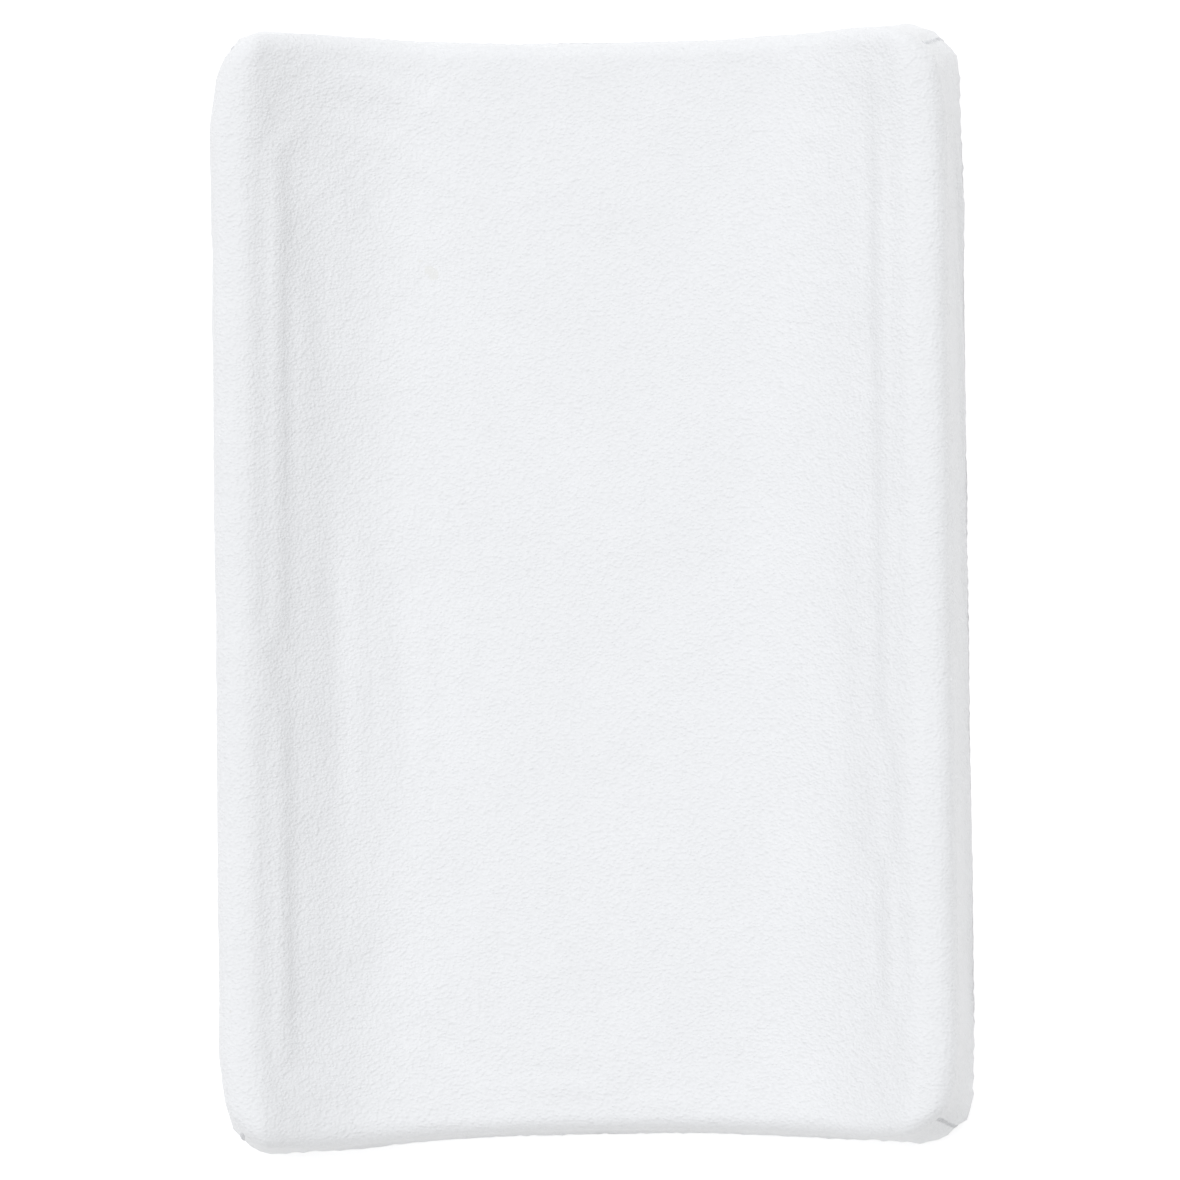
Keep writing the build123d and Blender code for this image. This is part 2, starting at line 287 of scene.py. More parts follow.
class PadSurface:
    """The covered pad's outer surface: a grid on top, then rings down the wall and under it.

    With stop_z the rings end on the wall at that height.
    """

    def __init__(self, cell, stop_z=None):
        rim_inset = (RIDGE_Z - UNDER_Z) * math.tan(LEAN) + RIM_REACH
        plan, outward = plan_grid(
            HALF_WIDTH - rim_inset, HALF_LENGTH - rim_inset, PLAN_CORNER - rim_inset, cell
        )
        nx, ny = plan.shape[:2]
        x = plan[..., 0]
        end_inset = (contour_height(x) - UNDER_Z) * math.tan(LEAN) + RIM_REACH
        y = plan[..., 1] * (HALF_LENGTH - end_inset) / (HALF_LENGTH - rim_inset)
        top = np.stack([x, y, cover_height(x, y)], axis=-1).reshape(-1, 3)
        index = np.arange(nx * ny).reshape(nx, ny)
        self.faces = [
            (index[i, j], index[i + 1, j], index[i + 1, j + 1], index[i, j + 1])
            for i in range(nx - 1)
            for j in range(ny - 1)
        ]
        self.top_faces = len(self.faces)
        loop = edge_loop(nx, ny)
        edge = np.array([index[at] for at in loop])
        way = np.array([outward[at] for at in loop])
        way /= np.linalg.norm(way, axis=1, keepdims=True)
        start = top[edge]
        rings = self.rings_below(start, way, stop_z)
        self.count = len(edge)
        points, previous = [top], edge
        for k, ring in enumerate(rings):
            ids = len(top) + k * self.count + np.arange(self.count)
            ahead, ids_ahead = np.roll(previous, -1), np.roll(ids, -1)
            self.faces += list(zip(previous, ids, ids_ahead, ahead))
            points.append(ring)
            previous = ids
        self.points = settle(np.concatenate(points))
        self.top_count = len(top)
        self.way = way
        self.hem_ring = previous
        self.shape = (nx, ny)

    def rings_below(self, start, way, stop_z):
        """Rings over the rim, down the leaning wall, round the foot and under to the hem."""
        height = start[:, 2]
        wall_inset = (height - UNDER_Z) * math.tan(LEAN)
        rim_inset = wall_inset + RIM_REACH
        rings = []

        def add(inset, z):
            plan = start[:, :2] + way * (rim_inset - inset)[:, None]
            rings.append(np.column_stack([plan, np.broadcast_to(z, len(plan))]))

        for angle in np.linspace(math.pi / 2, LEAN, RIM_RINGS + 1)[1:]:
            add(rim_inset - RIM_RADIUS * math.cos(angle), height - RIM_RADIUS * (1 - math.sin(angle)))
        wall_top = height - RIM_RADIUS * (1 - math.sin(LEAN))
        foot_middle = UNDER_Z + FOOT_RADIUS
        wall_foot = stop_z or foot_middle + FOOT_RADIUS * math.sin(LEAN)
        for share in np.linspace(0, 1, WALL_RINGS + 1)[1:]:
            z = wall_top + (wall_foot - wall_top) * share
            add((z - UNDER_Z) * math.tan(LEAN), z)
        if stop_z:
            return rings
        for angle in np.linspace(LEAN, -math.pi / 2, FOOT_RINGS + 1)[1:]:
            inset = FOOT_REACH - FOOT_RADIUS * math.cos(angle)
            add(np.full(len(start), inset), foot_middle + FOOT_RADIUS * math.sin(angle))
        turned = rings[-1][:, :2]
        hem = nearest_on_rounded(turned, HEM_X, HEM_Y, HEM_CORNER)
        for share in np.linspace(0, 1, UNDER_RINGS + 1)[1:]:
            plan = turned + (hem - turned) * share
            rings.append(np.column_stack([plan, np.full(len(plan), UNDER_Z)]))
        return rings

    def piece(self, name, first_ring=0, last_ring=None, with_top=True):
        """An object of the top grid and rings, or of a band of rings."""
        total = (len(self.faces) - self.top_faces) // self.count
        last_ring = total if last_ring is None else last_ring
        low = self.top_faces + first_ring * self.count
        high = self.top_faces + last_ring * self.count
        faces = (self.faces[: self.top_faces] if with_top else []) + self.faces[low:high]
        used = sorted({v for face in faces for v in face})
        renumber = {v: i for i, v in enumerate(used)}
        return make_object(
            name, self.points[used], [[renumber[v] for v in face] for face in faces]
        )


# ------------------------------------------------------------------ materials

SLOT_COLOURS = {m["slot"]: m["base_color"] for m in frame["record"]["materials"]}


def finish_of(slot, layers, roughness, bumps=1.0, **sockets):
    """A material for one slot: its record colour, shaded and raised by layers of texture.

    A layer is a texture kind, its pitch along X, Y and Z in metres, how much its low parts
    darken, and how high it stands in metres. Where a layer has a height, this darkening is
    painted shade in its low parts; where it has none, it is only uneven tone.
    """
    material = bpy.data.materials.new(slot)
    material.use_nodes = True
    nodes, links = material.node_tree.nodes, material.node_tree.links
    shader = nodes["Principled BSDF"]
    colour = (*SLOT_COLOURS[slot], 1.0)
    place_of = nodes.new("ShaderNodeTexCoord").outputs["Object"]
    shade, normal = None, None
    for kind, pitch, shade_and_tone, height in layers:
        spread = nodes.new("ShaderNodeMapping")
        spread.inputs["Scale"].default_value = [1 / p for p in pitch]
        links.new(place_of, spread.inputs["Vector"])
        value = texture_value(nodes, links, kind, spread.outputs["Vector"])
        # Painted shade and uneven tone: the texture's low parts are darkened in the colour. Where the
        # layer has a height, these are its recesses.
        if shade_and_tone:
            span = nodes.new("ShaderNodeMapRange")
            span.inputs["To Min"].default_value = 1 - shade_and_tone
            links.new(value, span.inputs["Value"])
            if shade is None:
                shade = span.outputs["Result"]
            else:
                times = nodes.new("ShaderNodeMath")
                times.operation = "MULTIPLY"
                links.new(shade, times.inputs[0])
                links.new(span.outputs["Result"], times.inputs[1])
                shade = times.outputs["Value"]
        if height:
            bump = nodes.new("ShaderNodeBump")
            bump.inputs["Distance"].default_value = height
            bump.inputs["Strength"].default_value = bumps
            links.new(value, bump.inputs["Height"])
            if normal is not None:
                links.new(normal, bump.inputs["Normal"])
            normal = bump.outputs["Normal"]
    tint = nodes.new("ShaderNodeMix")
    tint.data_type = "RGBA"
    tint.inputs["A"].default_value = (0, 0, 0, 1)
    tint.inputs["B"].default_value = colour
    links.new(shade, tint.inputs["Factor"])
    links.new(tint.outputs["Result"], shader.inputs["Base Color"])
    matt = nodes.new("ShaderNodeMapRange")
    matt.inputs["To Min"].default_value = min(1.0, roughness + 0.08)
    matt.inputs["To Max"].default_value = max(0.05, roughness - 0.05)
    links.new(shade, matt.inputs["Value"])
    links.new(matt.outputs["Result"], shader.inputs["Roughness"])
    if normal is not None:
        links.new(normal, shader.inputs["Normal"])
    for socket, value in sockets.items():
        shader.inputs[socket.replace("_", " ")].default_value = value
    return material


def texture_value(nodes, links, kind, vector):
    """One texture's value from 0 to 1 over cells that are one unit across."""
    if kind in ("loops", "grain", "cells"):
        texture = nodes.new("ShaderNodeTexVoronoi")
        texture.feature = {"loops": "SMOOTH_F1", "grain": "DISTANCE_TO_EDGE", "cells": "F1"}[kind]
        texture.inputs["Scale"].default_value = 1.0
        links.new(vector, texture.inputs["Vector"])
        span = nodes.new("ShaderNodeMapRange")
        low, high = (0.75, 0.0) if kind == "loops" else (0.0, 0.35)
        span.inputs["From Min"].default_value = low
        span.inputs["From Max"].default_value = high
        links.new(texture.outputs["Distance"], span.inputs["Value"])
        return span.outputs["Result"]
    if kind in ("rows", "columns", "courses"):
        texture = nodes.new("ShaderNodeTexWave")
        texture.bands_direction = {"rows": "Y", "columns": "X", "courses": "Z"}[kind]
        texture.inputs["Scale"].default_value = 0.314  # a wave of one unit
        texture.inputs["Distortion"].default_value = 0.35
        texture.inputs["Detail"].default_value = 1.0
        links.new(vector, texture.inputs["Vector"])
        return texture.outputs["Fac"]
    texture = nodes.new("ShaderNodeTexNoise")
    texture.inputs["Scale"].default_value = 1.0
    texture.inputs["Detail"].default_value = 3.0
    links.new(vector, texture.inputs["Vector"])
    return texture.outputs["Fac"]


def even(pitch):
    """The same pitch along every axis."""
    return (pitch, pitch, pitch)


# In every layer with a height, the darkening is painted shade in the texture's low parts: between
# knit ribs and thread twists, in grain grooves, grip texture and foam pores. Layers without height
# only vary the tone.
MATERIALS = {
    "terry": finish_of(
        "terry",
        [
            ("noise", even(0.060), 0.035, 0),
            ("noise", even(0.007), 0.015, 0.0005),
            # Painted shade: the colour darkens between the terry loops, in the low parts of their
            # bump.
            ("loops", (0.0021, 0.0016, 0.0018), 0.06, 0.0005),
        ],
        0.93,
        Sheen_Weight=0.35,
        Sheen_Roughness=0.55,
        Specular_IOR_Level=0.25,
    ),
    "seam_thread": finish_of(
        "seam_thread",
        [("noise", even(0.0008), 0.12, 0.0001), ("courses", even(0.0006), 0.15, 0.0001)],
        0.75,
        Sheen_Weight=0.2,
    ),
    "hem_jersey": finish_of(
        "hem_jersey",
        [
            ("columns", even(0.0011), 0.12, 0.0002),
            ("rows", even(0.0014), 0.10, 0.00015),
            ("noise", even(0.02), 0.06, 0),
        ],
        0.88,
        Sheen_Weight=0.3,
        Specular_IOR_Level=0.3,
    ),
    "elastic": finish_of(
        "elastic",
        [("rows", even(0.0012), 0.2, 0.0002), ("columns", even(0.0012), 0.1, 0.0002)],
        0.7,
    ),
    "label_satin": finish_of(
        "label_satin",
        [("columns", even(0.0005), 0.06, 0.00004), ("noise", even(0.01), 0.03, 0)],
        0.38,
        Sheen_Weight=0.3,
        Anisotropic=0.5,
    ),
    "liner": finish_of(
        "liner",
        [
            ("grain", even(0.0019), 0.06, 0.00012),
            ("noise", even(0.03), 0.05, 0.0004),
        ],
        0.52,
        Coat_Weight=0.12,
        Coat_Roughness=0.4,
    ),
    "grip": finish_of(
        "grip",
        [("noise", even(0.0012), 0.18, 0.0001), ("noise", even(0.03), 0.08, 0)],
        0.82,
    ),
    "fibre": finish_of(
        "fibre",
        [("noise", (0.0007, 0.006, 0.002), 0.15, 0.0006), ("noise", even(0.02), 0.08, 0.002)],
        0.95,
        Sheen_Weight=0.5,
    ),
    "foam": finish_of(
        "foam",
        [("cells", even(0.0014), 0.30, 0.0005), ("noise", even(0.05), 0.08, 0)],
        0.95,
    ),
    "zip_tape": finish_of(
        "zip_tape",
        [("rows", even(0.0008), 0.16, 0.0001), ("columns", even(0.0011), 0.12, 0.0001)],
        0.8,
        Sheen_Weight=0.15,
    ),
    "zip_plastic": finish_of(
        "zip_plastic",
        [("noise", even(0.002), 0.05, 0.00002), ("noise", even(0.03), 0.04, 0)],
        0.32,
        Coat_Weight=0.2,
    ),
    "zip_metal": finish_of(
        "zip_metal",
        [("noise", (0.0003, 0.006, 0.0003), 0.18, 0.00002), ("noise", even(0.004), 0.1, 0)],
        0.34,
        Metallic=1.0,
    ),
}


# ------------------------------------------------------------------ the terry cover

SIM_FRAMES = 16
SIM_CELL = 2 * CELL
SLACK_ACROSS = 0.010  # the cover is cut this much too wide
TENSION_ALONG = 0.004  # and this much too short
MOST_MOVED = 0.006


def relax_cloth():
    """Lets a coarse cover settle on the pad, cut a little wide and a little short.

    Returns its points before it settles and how far each then moves.
    """
    surface = PadSurface(SIM_CELL)
    sheet = surface.piece("settling_cover")
    collider = surface.piece("settling_pad")
    body = points_of(collider) - normals_of(collider) * (COVER_THICKNESS + 0.001)
    set_points(collider, body)
    first_held = surface.top_count + (RIM_RINGS + WALL_RINGS) * surface.count
    held = sheet.vertex_groups.new(name="held")
    held.add(list(range(first_held, len(surface.points))), 1.0, "REPLACE")
    start = points_of(sheet)
    sheet.shape_key_add(name="worn")
    cut = sheet.shape_key_add(name="cut")
    wide = start * np.array([1 + SLACK_ACROSS, 1 - TENSION_ALONG, 1])
    cut.data.foreach_set("co", wide.astype(np.float32).ravel())
    collider.modifiers.new("body", "COLLISION")
    collider.collision.thickness_outer = 0.001
    collider.collision.cloth_friction = 12
    cloth = sheet.modifiers.new("cloth", "CLOTH")
    settings = cloth.settings
    settings.rest_shape_key = cut
    settings.vertex_group_mass = "held"
    settings.quality = 5
    settings.mass = 0.3
    settings.tension_stiffness = settings.compression_stiffness = 30
    settings.shear_stiffness = 8
    settings.bending_stiffness = 0.4
    settings.air_damping = 2
    cloth.collision_settings.distance_min = 0.001
    cloth.collision_settings.use_self_collision = False
    cloth.point_cache.frame_end = SIM_FRAMES
    scene = bpy.context.scene
    scene.frame_end = SIM_FRAMES
    for step in range(1, SIM_FRAMES + 1):
        scene.frame_set(step)
    apply_modifiers(sheet)
    scene.frame_set(1)
    moved = points_of(sheet) - start
    far = np.linalg.norm(moved, axis=1, keepdims=True)
    moved *= np.minimum(1, MOST_MOVED / np.maximum(far, 1e-9))
    for used in (sheet, collider):
        bpy.data.objects.remove(used)
    return start, moved


def carry_over(points, start, moved, neighbours=4):
    """Moves fine points as the nearest coarse ones moved, but not at the firm sewn corners."""
    tree = kdtree.KDTree(len(start))
    for k, at in enumerate(start):
        tree.insert(at, k)
    tree.balance()
    shift = np.zeros_like(points)
    for k, at in enumerate(points):
        near = tree.find_n(at, neighbours)
        weights = np.array([1 / (distance + 0.001) ** 2 for _, _, distance in near])
        shift[k] = weights @ moved[[index for _, index, _ in near]] / weights.sum()
    corner = np.hypot(*(np.array([HALF_WIDTH, HALF_LENGTH]) - np.abs(points[:, :2])).T)
    return points + shift * smooth_step(corner, 0.035, 0.110)[:, None]


def fold(plan, start, end, width, height, bend=0.0):
    """How high a soft fold stands at each plan point: a ridge with a groove on its left side."""
    start, end = np.array(start), np.array(end)
    along = end - start
    length = np.linalg.norm(along)
    along /= length
    across = np.array([-along[1], along[0]])
    local = plan - start
    run = local @ along / length
    middle = bend * np.sin(np.clip(run, 0, 1) * math.pi)
    side = (local @ across - middle) / width
    profile = np.exp(-side**2) - 0.75 * np.exp(-(side - 1.5) ** 2)
    return height * profile * smooth_step(run, -0.05, 0.30) * (1 - smooth_step(run, 0.55, 1.05))


def cover_folds(points):
    """Drag folds from the head's left corner, and long folds at the foot of the left slope."""
    plan = points[:, :2]
    slope_x = -(DISH_X + 0.012)
    height = np.zeros(len(points))
    height += fold(plan, (-0.178, 0.345), (-0.070, 0.306), 0.008, 0.0010, 0.004)
    height += fold(plan, (-0.176, 0.318), (-0.072, 0.248), 0.009, 0.0013, 0.005)
    height += fold(plan, (-0.180, 0.290), (-0.085, 0.165), 0.012, 0.0011, -0.006)
    height += fold(plan, (-0.200, 0.285), (-0.182, 0.085), 0.010, 0.0010, 0.003)
    height += fold(plan, (slope_x, 0.075), (slope_x + 0.004, -0.205), 0.0085, -0.0013, 0.002)
    for step in range(1, 4):
        x = slope_x + 0.026 * step
        height += fold(
            plan, (x, 0.060 - 0.02 * step), (x + 0.006, -0.200 + 0.02 * step), 0.010,
            0.0009 / step, 0.003,
        )
    height += fold(plan, (-0.055, -0.326), (0.020, -0.333), 0.005, 0.0007)
    height += fold(plan, (-0.130, -0.300), (-0.060, -0.345), 0.009, 0.0009, 0.003)
    height += fold(plan, (0.186, -0.180), (0.182, 0.060), 0.010, 0.0007, 0.002)
    return height * smooth_step(points[:, 2], RIDGE_Z / 3, RIDGE_Z / 3 + 0.008)


GATHER_PITCH = 0.0125
GATHER_CORNER = 16.0  # how many columns each side of a corner gather more


def cover_ease(surface, points):
    """Gathers that the elastic draws into the foot of the wall and the turned-under part."""
    count, base = surface.count, surface.top_count
    offsets = np.zeros(len(points))
    around = np.arange(count)
    drift = 2.2 * np.sin(around * 0.11) + np.cos(around * 0.047)
    phase = 2 * math.pi * around * CELL / GATHER_PITCH + drift
    wave = np.cos(phase) + 0.35 * np.cos(2.3 * phase + 1)
    corners = corner_columns(surface)
    away = np.min([np.minimum((around - c) % count, (c - around) % count) for c in corners], axis=0)
    near_corner = np.exp(-((away / GATHER_CORNER) ** 2))
    rings = RIM_RINGS + WALL_RINGS + FOOT_RINGS + UNDER_RINGS
    under = RIM_RINGS + WALL_RINGS + FOOT_RINGS
    for ring in range(rings):
        ids = base + ring * count + around
        if ring >= under:
            share = (ring - under + 1) / UNDER_RINGS
            offsets[ids] = wave * (0.0003 + 0.0008 * share)
        else:
            low = smooth_step(np.float64(ring), RIM_RINGS + WALL_RINGS * 0.25, under)
            offsets[ids] = wave * low * (0.00022 + 0.0007 * near_corner)
    return offsets


def corner_columns(surface):
    """Which columns of the rings run down the four corners."""
    nx, ny = surface.shape
    return [0, nx - 1, nx + ny - 2, 2 * nx + ny - 3]


def seam_grooves(surface, points):
    """The sewn corner seams pull the cover in along the middle of each corner."""
    offsets = np.zeros(len(points))
    for column in corner_columns(surface):
        for ring in range(1, RIM_RINGS + WALL_RINGS + FOOT_RINGS):
            base = surface.top_count + ring * surface.count
            pucker = 0.0003 * math.sin(ring * 2.4)
            depth = 0.0006 * smooth_step(np.float64(ring), 0, RIM_RINGS)
            offsets[base + column] -= depth
            for side in (-1, 1):
                offsets[base + (column + side) % surface.count] += 0.0003 + side * pucker
    return offsets


def make_cover():
    """The fitted terry cover, as one thick sheet, and its outer points by ring."""
    surface = PadSurface(CELL)
    cover = surface.piece("terry_cover_sheet")
    set_points(cover, carry_over(points_of(cover), *relax_cloth()))
    points, normals = points_of(cover), normals_of(cover)
    lift = cover_folds(points) + cover_ease(surface, points) + seam_grooves(surface, points)
    lift += 0.0007 * unevenness(points, 0.055, 1) + 0.00035 * unevenness(points, 0.016, 2)
    lift += 0.00018 * unevenness(points, 0.005, 3)
    set_points(cover, points + normals * lift[:, None])
    outer = points_of(cover)
    thicken(cover, COVER_THICKNESS)
    place(cover, "terry", ["terry_cover"])
    return cover, surface, outer


# ------------------------------------------------------------------ sewn and gathered pieces

def tubes(name, paths, radius, sides=6):
    """One object of round threads, each along its own short path, with closed ends."""
    points, faces = [], []
    turns = np.arange(sides) * 2 * math.pi / sides
    for path in paths:
        path = np.asarray(path, float)
        ahead = np.gradient(path, axis=0)
        ahead /= np.linalg.norm(ahead, axis=1, keepdims=True)
        spare = np.array([0.31, 0.17, 0.93])
        side = np.cross(ahead, spare)
        side /= np.linalg.norm(side, axis=1, keepdims=True)
        up = np.cross(side, ahead)
        first = len(points)
        for k, centre in enumerate(path):
            size = radius * (0.55 if k in (0, len(path) - 1) else 1)
            for turn in turns:
                points.append(centre + size * (math.cos(turn) * side[k] + math.sin(turn) * up[k]))
        for k in range(len(path) - 1):
            low, high = first + k * sides, first + (k + 1) * sides
            for s in range(sides):
                t = (s + 1) % sides
                faces.append((low + s, low + t, high + t, high + s))
        faces.append([first + s for s in reversed(range(sides))])
        faces.append([first + (len(path) - 1) * sides + s for s in range(sides)])
    return make_object(name, points, faces)


def arched(start, end, rise, steps=5):
    """A short path from start to end that arches along rise."""
    shares = np.linspace(0, 1, steps)[:, None]
    line = np.asarray(start) + (np.asarray(end) - np.asarray(start)) * shares
    return line + np.asarray(rise) * np.sin(shares * math.pi)


def make_corner_seams(surface, outer):
    """Overlocked thread up each corner: slanted stitches across the groove."""
    names = ("foot_left", "foot_right", "head_right", "head_left")
    first, last = RIM_RINGS, RIM_RINGS + WALL_RINGS
    for name, column in zip(names, corner_columns(surface)):
        sides = [(column - 1) % surface.count, (column + 1) % surface.count]
        rows = surface.top_count + np.arange(first, last + 1) * surface.count
        left, middle, right = outer[rows + sides[0]], outer[rows + column], outer[rows + sides[1]]
        length = np.linalg.norm(middle[0] - middle[-1])
        ticks = np.linspace(0, len(rows) - 1.001, int(length / 0.0032))
        paths = []
        for tick in ticks:
            k, part = int(tick), tick % 1
            at = [p[k] + (p[k + 1] - p[k]) * part for p in (left, middle, right)]
            slant = (at[1] - (middle[min(k + 1, len(middle) - 1)])) * 0.3
            way = at[2] - at[0]
            across = way / np.linalg.norm(way) * 0.0019
            out = np.array([middle[k][0], middle[k][1], 0.0])
            out = out / np.linalg.norm(out) * 0.0004
            paths.append(arched(at[1] - across + slant, at[1] + across - slant, out))
        seam = tubes(f"corner_seam_{name}", paths, 0.00027)
        place(seam, "seam_thread", ["cover_corner_seams"])
        yield seam


def rounded_path(half_x, half_y, radius, step):
    """Points evenly along a rounded rectangle, and the outward way at each."""
    dense, ways = [], []
    for sign_x, sign_y, turn in ((1, -1, -90), (1, 1, 0), (-1, 1, 90), (-1, -1, 180)):
        centre = np.array([sign_x * (half_x - radius), sign_y * (half_y - radius)])
        for angle in np.radians(turn + np.linspace(0, 90, 60)):
            way = np.array([math.cos(angle), math.sin(angle)])
            dense.append(centre + radius * way)
            ways.append(way)
    dense, ways = np.array(dense + dense[:1]), np.array(ways + ways[:1])
    run = np.concatenate([[0], np.cumsum(np.linalg.norm(np.diff(dense, axis=0), axis=1))])
    even_run = np.linspace(0, run[-1], round(run[-1] / step) + 1)[:-1]
    path = np.column_stack([np.interp(even_run, run, dense[:, k]) for k in (0, 1)])
    way = np.column_stack([np.interp(even_run, run, ways[:, k]) for k in (0, 1)])
    return path, way / np.linalg.norm(way, axis=1, keepdims=True), even_run


def ring_sweep(name, path, way, section, closed_section=True):
    """A closed ring whose section, given per path point as outward and upward, is swept round."""
    rounds, sides = section.shape[:2]
    outward = section[..., 0, None] * way[:, None, :]
    plan = path[:, None, :] + outward
    points = np.concatenate([plan, section[..., 1:2]], axis=-1).reshape(-1, 3)
    faces = []
    last = sides if closed_section else sides - 1
    for i in range(rounds):
        j = (i + 1) % rounds
        for s in range(last):
            t = (s + 1) % sides
            faces.append((i * sides + s, j * sides + s, j * sides + t, i * sides + t))
    return make_object(name, points, faces)


ELASTIC_INSET = 0.0045  # how far the elastic's edges lie inside the casing's
STITCH_FROM_EDGE = 0.0022
HEM_STITCH = 0.0036


def make_hem():
    """The gathered casing of the hem, its row of stitches, and the braided elastic inside."""
    middle = CASING_WIDTH / 2
    path, way, run = rounded_path(HEM_X + middle, HEM_Y + middle, HEM_CORNER + middle, 0.0024)
    gather = np.cos(2 * math.pi * run / 0.0105 + 1.7 * np.sin(run * 37) + np.sin(run * 11))
    floor, top = CASING_LOW.z, CASING_HIGH.z
    thick, sides = top - floor, 14
    turn = np.arange(sides) * 2 * math.pi / sides
    across = np.sign(np.cos(turn)) * np.abs(np.cos(turn)) ** 0.6 * (middle - 0.0004)
    lift = np.sign(np.sin(turn)) * np.abs(np.sin(turn)) ** 0.8 * thick * 0.42
    inner_edge = across < 0
    section = np.zeros((len(path), sides, 2))
    section[..., 0] = across * (1 + 0.05 * gather[:, None] * inner_edge)
    section[..., 1] = (floor + top) / 2 + lift * (1 + 0.14 * gather[:, None])
    section[..., 1] += 0.00022 * gather[:, None] * (1.2 - across / middle)
    casing = ring_sweep("hem_casing_gathered", path, way, section)
    thicken(casing, 0.0004)
    place(casing, "hem_jersey", ["hem_casing"])

    strip_low, strip_high = (floor + top) / 2 - 0.0004, (floor + top) / 2 + 0.0004
    ripple = 0.00015 * gather[:, None]
    half = middle - ELASTIC_INSET
    cross = np.array(
        [(-half, strip_low), (half, strip_low), (half, strip_high), (-half, strip_high)]
    )
    section = np.broadcast_to(cross, (len(path), 4, 2)).copy()
    section[..., 1] += ripple
    elastic = ring_sweep("hem_elastic_braid", path, way, section)
    place(elastic, "elastic", ["hem_elastic"])

    stitches = []
    row = 2 * middle - STITCH_FROM_EDGE
    pitch = HEM_STITCH
    spots, ways, _ = rounded_path(HEM_X + row, HEM_Y + row, HEM_CORNER + row, pitch)
    for spot, out in zip(spots, ways):
        along = np.array([-out[1], out[0]]) * pitch * 0.36
        z = floor + 0.0006
        stitches.append(
            arched((*(spot - along), z), (*(spot + along), z), (0, 0, -0.00035), 4)
        )
    thread = tubes("hem_stitches", stitches, 0.00022, 5)
    place(thread, "seam_thread")
    return casing, elastic, thread


def make_label():
    """The blank satin label, nearly flat under the pad, sewn in at the hem."""
    low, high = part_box("care_label")
    across, along = 17, 25
    x, y = np.meshgrid(
        np.linspace(low.x, high.x, across), np.linspace(low.y, high.y, along), indexing="ij"
    )
    middle = (low.z + high.z) / 2 + 0.0001
    z = middle + 0.00012 * np.sin((y - low.y) * 190) + 0.00006 * np.cos((x - low.x) * 300)
    points = np.stack([x, y, z], axis=-1).reshape(-1, 3)
    index = np.arange(across * along).reshape(across, along)
    faces = [
        (index[i, j + 1], index[i + 1, j + 1], index[i + 1, j], index[i, j])
        for i in range(across - 1)
        for j in range(along - 1)
    ]
    label = make_object("care_label_ribbon", points, faces)
    thicken(label, 0.0003, 0)
    place(label, "label_satin", ["care_label"])
    return label


# ------------------------------------------------------------------ liner, base and grips

FLAT_Z = UNDER_Z + COVER_THICKNESS
PLATEAU_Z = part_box("liner_base_left")[0].z
ZIP_Z = (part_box("zip_tape_left")[0].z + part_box("zip_tape_left")[1].z) / 2
CHANNEL_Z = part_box("zip_tape_left")[0].z - LINER_THICKNESS
CHANNEL_X = 0.024
CHANNEL_Y = 0.285
PLATEAU_X = 0.184
PLATEAU_Y = 0.309
PLATEAU_CORNER = 0.064
SLOT_X = 0.009
SLOT_Y = 0.276
LINER_SEAM_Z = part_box("liner_base_left")[1].z
BASE_CELL = 0.006


def make_liner_uppers():
    """The liner's top panel, and the band round its sides down to the base seam."""
    surface = PadSurface(2 * CELL, LINER_SEAM_Z)
    half_rim = RIM_RINGS // 2
    bands = {
        "liner_top_skin": (0, half_rim, True, "liner_top_panel"),
        "liner_side_skin": (half_rim, None, False, "liner_side_band"),
    }
    whole = surface.piece("whole")
    inner = points_of(whole) - normals_of(whole) * (COVER_THICKNESS + 0.0002)
    bpy.data.objects.remove(whole)
    surface.points = inner
    for name, (first, last, with_top, node) in bands.items():
        skin = surface.piece(name, first, last, with_top)
        thicken(skin, LINER_THICKNESS)
        place(skin, "liner", [node])


def rounded_distance(x, y, half_x, half_y, radius):
    """How far each plan point is outside a rounded rectangle; negative inside."""
    away_x, away_y = np.abs(x) - half_x + radius, np.abs(y) - half_y + radius
    outside = np.hypot(np.maximum(away_x, 0), np.maximum(away_y, 0))
    return outside + np.minimum(np.maximum(away_x, away_y), 0) - radius


def base_height(x, y):
    """The underside's height: it bulges through the hem's opening, but for the zip's channel."""
    outside = rounded_distance(x, y, PLATEAU_X, PLATEAU_Y, PLATEAU_CORNER)
    z = FLAT_Z + (PLATEAU_Z - FLAT_Z) * (1 - smooth_step(outside, -0.011, 0.001))
    channel = (1 - smooth_step(np.abs(x), CHANNEL_X, CHANNEL_X + 0.004)) * (
        1 - smooth_step(np.abs(y), CHANNEL_Y, CHANNEL_Y + 0.004)
    )
    return z + (CHANNEL_Z - z) * channel


